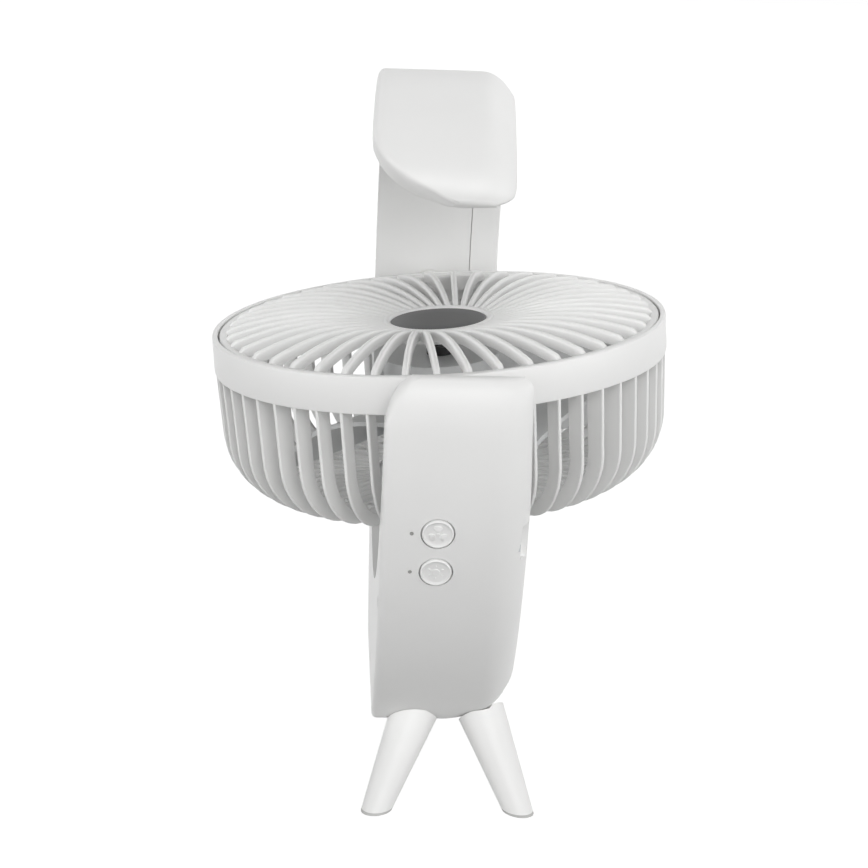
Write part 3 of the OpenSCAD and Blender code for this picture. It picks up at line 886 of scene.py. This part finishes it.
class FAN_OT_ribbon(bpy.types.Operator):
    """Frame moulding: front arm, body, ring and curl in one hollow shell with soft edges"""

    bl_idname = "fan.ribbon"
    bl_label = "Frame moulding"

    def execute(self, context):
        sections = []
        for a in ribbon_angles():
            wall = min(WALL, THIN_WALL * max(0.05, outer_face(a, MIDDLE_X, 0) - INNER))
            thick = PORT_WALL * ramp(abs(a - PORT_ANGLE), PORT_SPAN, -PORT_FADE)
            loop = ribbon_side(a, 0) + ribbon_side(a, wall, thick)[::-1]
            sections.append([on_ribbon(a, r, x) for r, x in loop])
        shell = bridged("frame_moulding", sections)
        shell.location.z = PIVOT_Z
        for x, radius in ((BUTTON_X, BUTTON_HOLE), (DOT_X, DOT_HOLE)):
            for angle in BUTTON_ANGLES:
                hole = cylinder(radius, 12)
                hole.matrix_world = on_bulge(angle, x)
                carve(shell, hole)
        for radius, near, far in PIVOT_BORES:
            bore = cylinder(radius, far - near, (0, -(near + far) / 2, 0), lying=True)
            bore.location.z = PIVOT_Z
            carve(shell, bore)
        for name, outline, near, far in PORT_CUTS:
            block = bridged(name, [[(x, PORT_Y + p, PORT_Z + q) for p, q in outline] for x in (near, far)])
            block.location.z = PIVOT_Z
            carve(shell, block)
        settle(shell, "frame_moulding", 35)
        coat(shell, material_named("frame_abs"))
        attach(shell, "frame")
        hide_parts("frame_shell")
        return {"FINISHED"}


# ---------- front grille, in the head's own frame ----------

RIB_START, RIB_END, RIB_STEPS = 22.6, 95.0, 24
RIB_TOP, RIB_BOTTOM, RIB_THIN, RIB_SOFT = 8.5, 3.6, 2.0, 1.25
NOSE, NOSE_DROP = 3.0, 2.2  # the rib's end at the rim rounds down

RIM = [(93.2, 0), (96.9, 0), (96.9, 6.9), (96.5, 7.35), (94.2, 7.35), (93.4, 6.9), (93.2, 6.3)]
HUB = [
    (21.25, 2.2),
    (24.2, 2.2),
    (25.0, 3.0),
    (25.3, 6.6),
    (24.9, 7.9),
    (24.0, 8.6),
    (22.8, 8.75),
    (21.9, 8.5),
    (21.4, 7.9),
    (21.25, 7.3),
]
SEAT = [(0.0, 2.0), (22.5, 2.0), (22.5, 6.7), (0.0, 6.7)]

# the screw posts stand at the whole steps of 54 round the head that are nearest to the diagonals
POST_STEP = 360 / 54
POST_ANGLES = [math.radians(round(q / POST_STEP) * POST_STEP) for q in (45, 135, 225, 315)]
POST_PLACE, POST_Z, POST_RADIUS, POST_HEIGHT, POST_SOFT = 93.9, -1.7, 2.6, 8, 0.25


def bar_section(x, top, bottom, width, soft):
    """A rib's section at distance x along it: flat sides, a rounded top and a small flat below."""
    half = width / 2
    corners = [(x, -half, bottom), (x, -half, top - soft)]
    for k in range(1, 6):
        a = math.pi * (1 - k / 6)
        corners.append((x, half * math.cos(a), top - soft + soft * math.sin(a)))
    return corners + [(x, half, top - soft), (x, half, bottom)]


class FAN_OT_grille(bpy.types.Operator):
    """Front grille: swirled ribs with rounded tops between the rim and the hub"""

    bl_idname = "fan.grille"
    bl_label = "Front grille"

    def execute(self, context):
        settings = context.scene.fan_finish
        middle, half = (RIB_START + RIB_END) / 2, (RIB_END - RIB_START) / 2
        sections = []
        for k in range(RIB_STEPS + 1):
            x = RIB_START + (RIB_END - RIB_START) * k / RIB_STEPS
            rise = settings.rib_rise / MM * (1 - ((x - middle) / half) ** 2)
            top = RIB_TOP + rise - NOSE_DROP * ramp(x, RIB_END - NOSE, NOSE) ** 2
            bottom = min(top - RIB_THIN, RIB_BOTTOM + rise)
            sections.append(bar_section(x, top, bottom, settings.rib_width / MM, RIB_SOFT))
        rib = bridged("grille_rib", sections)
        edit(rib)
        bpy.ops.transform.translate(value=(0, -settings.rib_swirl, 0))
        leave()
        ribs = copies_round(rib, settings.rib_count)
        rings = [turned("grille_rim", RIM), turned("grille_hub", HUB, 96), turned("grille_seat", SEAT, 64)]
        posts = []
        for q in POST_ANGLES:
            place = (POST_PLACE * math.cos(q), POST_PLACE * math.sin(q), POST_Z)
            posts.append(cylinder(POST_RADIUS, POST_HEIGHT, place, 32))
            soften(posts[-1], POST_SOFT)
        join(ribs, rings + posts)
        into_head(ribs)
        settle(ribs, "grille_moulding", 40)
        coat(ribs, material_named("cage_abs"))
        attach(ribs, "head")
        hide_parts("front_grille")
        return {"FINISHED"}


# ---------- rear cage, in the head's own frame ----------

CAGE_BACK = -65.0  # the back face of the motor plate

# a side blade: its outer and inner radii at the band and above the corner, the radii of the corner, and the
# inner radii through which it runs on over the back
BLADE_TOP, BLADE_STEPS = -6.6, 9
BLADE_START_OUTER, BLADE_START_INNER = 99.45, 90.4
BLADE_OUTER, BLADE_OUTER_LOW = 99.5, 98.3
BLADE_INNER, BLADE_INNER_LOW = 90.5, 89.8
BLADE_TURN, BLADE_INNER_TURN = 30.0, 25.0
BLADE_LOW, BLADE_INNER_BOTTOM = CAGE_BACK + 0.3, CAGE_BACK + 4.5
BLADE_BACK = (58.0, 46.0, 33.0)
BLADE_SOFT, BLADE_FLAT = 0.35, 0.55  # its cut corners, and the share of the edge between them

BAND = [
    (90.3, -8.0),
    (99.2, -8.0),
    (99.8, -7.75),
    (100.0, -7.2),
    (100.0, 7.0),
    (99.75, 7.7),
    (99.2, 8.0),
    (97.9, 8.0),
    (97.55, 7.6),
    (97.5, -5.8),
    (90.3, -5.8),
]
# the rings that tie the blades at the back: inner radii, and the outline from there and from the back
RING_RADII = (33.5, 55.0)
RING = [(0, 0.7), (3, 0.7), (3, 3.2), (2.7, 3.5), (0.3, 3.5), (0, 3.2)]
PLATE = [(0, 0), (33.6, 0), (34.0, 0.4), (34.0, 3.0), (0, 3.0)]
BOSS_RADIUS, BOSS_HEIGHT, BOSS_Y, BOSS_SOFT = 7.6, 7.6, 101.8, 0.4


def blade_course():
    """Where a side blade goes: pairs of an outer and an inner place, each a radius and a height."""
    course = [((BLADE_START_OUTER, BLADE_TOP), (BLADE_START_INNER, BLADE_TOP))]
    for k in range(1, BLADE_STEPS):
        t = k / BLADE_STEPS
        z = BLADE_TOP + (BLADE_LOW + BLADE_TURN - BLADE_TOP) * t
        outer = BLADE_OUTER + (BLADE_OUTER_LOW - BLADE_OUTER) * t
        inner = BLADE_INNER + (BLADE_INNER_LOW - BLADE_INNER) * t
        course.append(((outer, z), (inner, z)))
    for k in range(13):
        across, down = (1 - f(math.radians(7.5 * k)) for f in (math.cos, math.sin))
        outer = (BLADE_OUTER_LOW - BLADE_TURN * across, BLADE_LOW + BLADE_TURN * down)
        inner = (
            BLADE_INNER_LOW - BLADE_INNER_TURN * across,
            BLADE_INNER_BOTTOM + BLADE_INNER_TURN * down,
        )
        course.append((outer, inner))
    return course + [((r + 3, BLADE_LOW), (r, BLADE_INNER_BOTTOM)) for r in BLADE_BACK]


def blade_section(outer, inner, half):
    """A blade's section with cut corners between its outer and its inner place."""
    out, inn = Vector((outer[0], 0, outer[1])), Vector((inner[0], 0, inner[1]))
    across = (out - inn).normalized()
    corners = []
    for place, way in ((out, 1), (inn, -1)):
        for share, back in ((-1, BLADE_SOFT), (-BLADE_FLAT, 0), (BLADE_FLAT, 0), (1, BLADE_SOFT)):
            corner = place - across * way * back + Vector((0, share * way * half, 0))
            corners.append(tuple(corner))
    return corners


class FAN_OT_cage(bpy.types.Operator):
    """Rear cage: solid band, soft-edged side blades that run on as the back grille, rings and plate"""

    bl_idname = "fan.cage"
    bl_label = "Rear cage"

    def execute(self, context):
        settings = context.scene.fan_finish
        half = settings.blade_width / MM / 2
        blade = bridged("cage_blade", [blade_section(outer, inner, half) for outer, inner in blade_course()])
        blades = copies_round(blade, settings.blade_count, 180 / settings.blade_count)
        parts = [turned("cage_band", BAND, 192)]
        for radius in RING_RADII:
            parts.append(turned("cage_ring", [(radius + r, CAGE_BACK + z) for r, z in RING], 96))
        parts.append(turned("cage_plate", [(r, CAGE_BACK + z) for r, z in PLATE], 72))
        for way in (-1, 1):
            parts.append(cylinder(BOSS_RADIUS, BOSS_HEIGHT, (0, way * BOSS_Y, 0), 48, lying=True))
            soften(parts[-1], BOSS_SOFT)
        join(blades, parts)
        into_head(blades)
        settle(blades, "cage_moulding", 40)
        coat(blades, material_named("cage_abs"))
        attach(blades, "head")
        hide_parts("rear_cage")
        return {"FINISHED"}


# ---------- stage ----------

FLOOR_SIZE, FLOOR_Z = 8.0, -0.0002  # in metres
PAPER, PAPER_GLOW, PAPER_BOUNCE = "A8A8A8", 0.84, "909090"
WALL_LIGHT, WALL_FADE = 1.9, 3.0
WHITE = (1.0, 1.0, 1.0, 1.0)

# name, azimuth from the front towards the right, elevation, spread and strength
LAMPS = (
    ("key_lamp", 8.0, 36.0, 45.0, 1.2),
    ("right_lamp", 72.0, 10.0, 45.0, 0.8),
    ("left_lamp", -72.0, 10.0, 45.0, 0.8),
    ("back_lamp", 165.0, 50.0, 60.0, 0.55),
)
LAMP_DISTANCE = 2  # in metres; a lamp with parallel rays is as strong from anywhere

CAMERA_AZIMUTH, CAMERA_ELEVATION, CAMERA_ROLL = -3.019, 15.309, -2.088
CAMERA_TARGET = (0.239, 27.302, 152.166)
CAMERA_DISTANCE, CAMERA_NEAR = 1.041474, 0.05  # in metres
SENSOR = 36.0
PICTURE_PIXELS, FOCAL_PIXELS, SHIFT_PIXELS = 868, 2267.945, -24


def direction(azimuth, elevation):
    """The way from the middle to a place round the fan; azimuth 0 is the front."""
    az, el = math.radians(azimuth), math.radians(elevation)
    return Vector((math.sin(az) * math.cos(el), -math.cos(az) * math.cos(el), math.sin(el)))


def calc(tree, operation, first, second):
    """The output of a sum on two values, each a number or an output socket."""
    both = {0: first, 1: second}
    numbers = {key: value for key, value in both.items() if isinstance(value, float)}
    links = {key: value for key, value in both.items() if key not in numbers}
    return add_node(tree, "ShaderNodeMath", {"operation": operation, **numbers}, links).outputs[0]


def seen_directly(tree):
    """1 where a ray comes from the camera or through gloss or glass, else 0."""
    path = add_node(tree, "ShaderNodeLightPath").outputs
    seen = calc(tree, "MAXIMUM", path["Is Camera Ray"], path["Is Glossy Ray"])
    return calc(tree, "MAXIMUM", seen, path["Is Transmission Ray"])


def studio_paper():
    """White paper that glows a little, with only a faint shadow, where it is seen directly or in a
    reflection; to all other light it is a plain grey sheet."""
    material, tree = new_material("studio_paper")
    paper = add_node(tree, "ShaderNodeBsdfDiffuse", {"Color": hex_linear(PAPER)})
    glow = add_node(tree, "ShaderNodeEmission", {"Color": WHITE, "Strength": PAPER_GLOW})
    bounce = add_node(tree, "ShaderNodeBsdfDiffuse", {"Color": hex_linear(PAPER_BOUNCE)})
    lit = add_node(tree, "ShaderNodeAddShader", links={0: paper.outputs[0], 1: glow.outputs[0]})
    links = {0: seen_directly(tree), 1: bounce.outputs[0], 2: lit.outputs[0]}
    finish_material(tree, add_node(tree, "ShaderNodeMixShader", links=links))
    return material


def light_world(scene):
    """Pale walls all round, darker overhead and below, and plain white where seen directly."""
    world = bpy.data.worlds.new("studio_world")
    scene.world = world
    world.use_nodes = True
    tree = world.node_tree
    tree.nodes.clear()
    way = add_node(tree, "ShaderNodeTexCoord")
    split = add_node(tree, "ShaderNodeSeparateXYZ", links={0: way.outputs["Generated"]})
    rise = add_node(tree, "ShaderNodeMath", {"operation": "ABSOLUTE"}, {0: split.outputs["Z"]})
    level = calc(tree, "POWER", calc(tree, "SUBTRACT", 1.0, rise.outputs[0]), WALL_FADE)
    strength = add_node(
        tree,
        "ShaderNodeMapRange",
        {"To Max": 1.0},
        {"Value": seen_directly(tree), "To Min": calc(tree, "MULTIPLY", level, WALL_LIGHT)},
    )
    ambient = add_node(
        tree, "ShaderNodeBackground", {"Color": WHITE}, {"Strength": strength.outputs["Result"]}
    )
    add_node(tree, "ShaderNodeOutputWorld", links={"Surface": ambient.outputs[0]})


def add_lamps(level):
    """A broad key from above the front, a lamp at each side and one from behind."""
    for name, azimuth, elevation, spread, power in LAMPS:
        way = direction(azimuth, elevation)
        bpy.ops.object.light_add(type="SUN", location=way * LAMP_DISTANCE)
        lamp = bpy.context.object
        lamp.name = name
        lamp.data.angle = math.radians(spread)
        lamp.data.energy = power * level
        lamp.rotation_euler = way.to_track_quat("Z", "Y").to_euler()


def add_camera(scene):
    """A camera at the height and angle of a table-top product shot, with a slight roll."""
    back = direction(CAMERA_AZIMUTH, CAMERA_ELEVATION)
    roll = math.radians(CAMERA_ROLL)
    right = (-back).cross(Vector((0, 0, 1))).normalized()
    up = right.cross(-back)
    axis_x = right * math.cos(roll) - up * math.sin(roll)
    axis_y = right * math.sin(roll) + up * math.cos(roll)
    turn = Matrix((axis_x, axis_y, back)).transposed()
    place = Vector(CAMERA_TARGET) * MM + back * CAMERA_DISTANCE
    bpy.ops.object.camera_add(location=place, rotation=turn.to_euler())
    camera = bpy.context.object
    camera.name = "product_camera"
    camera.data.sensor_width = SENSOR
    camera.data.lens = FOCAL_PIXELS / PICTURE_PIXELS * SENSOR
    camera.data.shift_y = SHIFT_PIXELS / PICTURE_PIXELS
    camera.data.clip_start = CAMERA_NEAR
    scene.camera = camera


class FAN_OT_stage(bpy.types.Operator):
    """Floor, studio light and camera"""

    bl_idname = "fan.stage"
    bl_label = "Stage"

    def execute(self, context):
        scene = context.scene
        bpy.ops.object.select_all(action="DESELECT")
        bpy.ops.mesh.primitive_plane_add(size=FLOOR_SIZE, location=(0, 0, FLOOR_Z))
        floor = context.object
        floor.name = "studio_floor"
        coat(floor, studio_paper())
        light_world(scene)
        add_lamps(scene.fan_finish.lamp_level)
        add_camera(scene)
        scene.view_settings.view_transform = "Standard"
        return {"FINISHED"}


class FAN_PT_finish(bpy.types.Panel):
    """The settings and the steps, in their order"""

    bl_label = "Camping fan"
    bl_idname = "FAN_PT_finish"
    bl_space_type = "VIEW_3D"
    bl_region_type = "UI"
    bl_category = "Fan"

    def draw(self, context):
        settings = context.scene.fan_finish
        for name in settings.bl_rna.properties.keys():
            if name not in ("rna_type", "name"):
                self.layout.prop(settings, name)
        for step in STEPS:
            self.layout.operator(step.bl_idname)


STEPS = (FAN_OT_plastics, FAN_OT_ribbon, FAN_OT_buttons, FAN_OT_grille, FAN_OT_cage, FAN_OT_stage)
CLASSES = (FanFinishSettings, *STEPS, FAN_PT_finish)


def register():
    for cls in CLASSES:
        bpy.utils.register_class(cls)
    bpy.types.Scene.fan_finish = bpy.props.PointerProperty(type=FanFinishSettings)


def unregister():
    del bpy.types.Scene.fan_finish
    for cls in reversed(CLASSES):
        bpy.utils.unregister_class(cls)


def main():
    register()
    for step in STEPS:
        group, action = step.bl_idname.split(".")
        getattr(getattr(bpy.ops, group), action)()


if __name__ == "__main__":
    main()
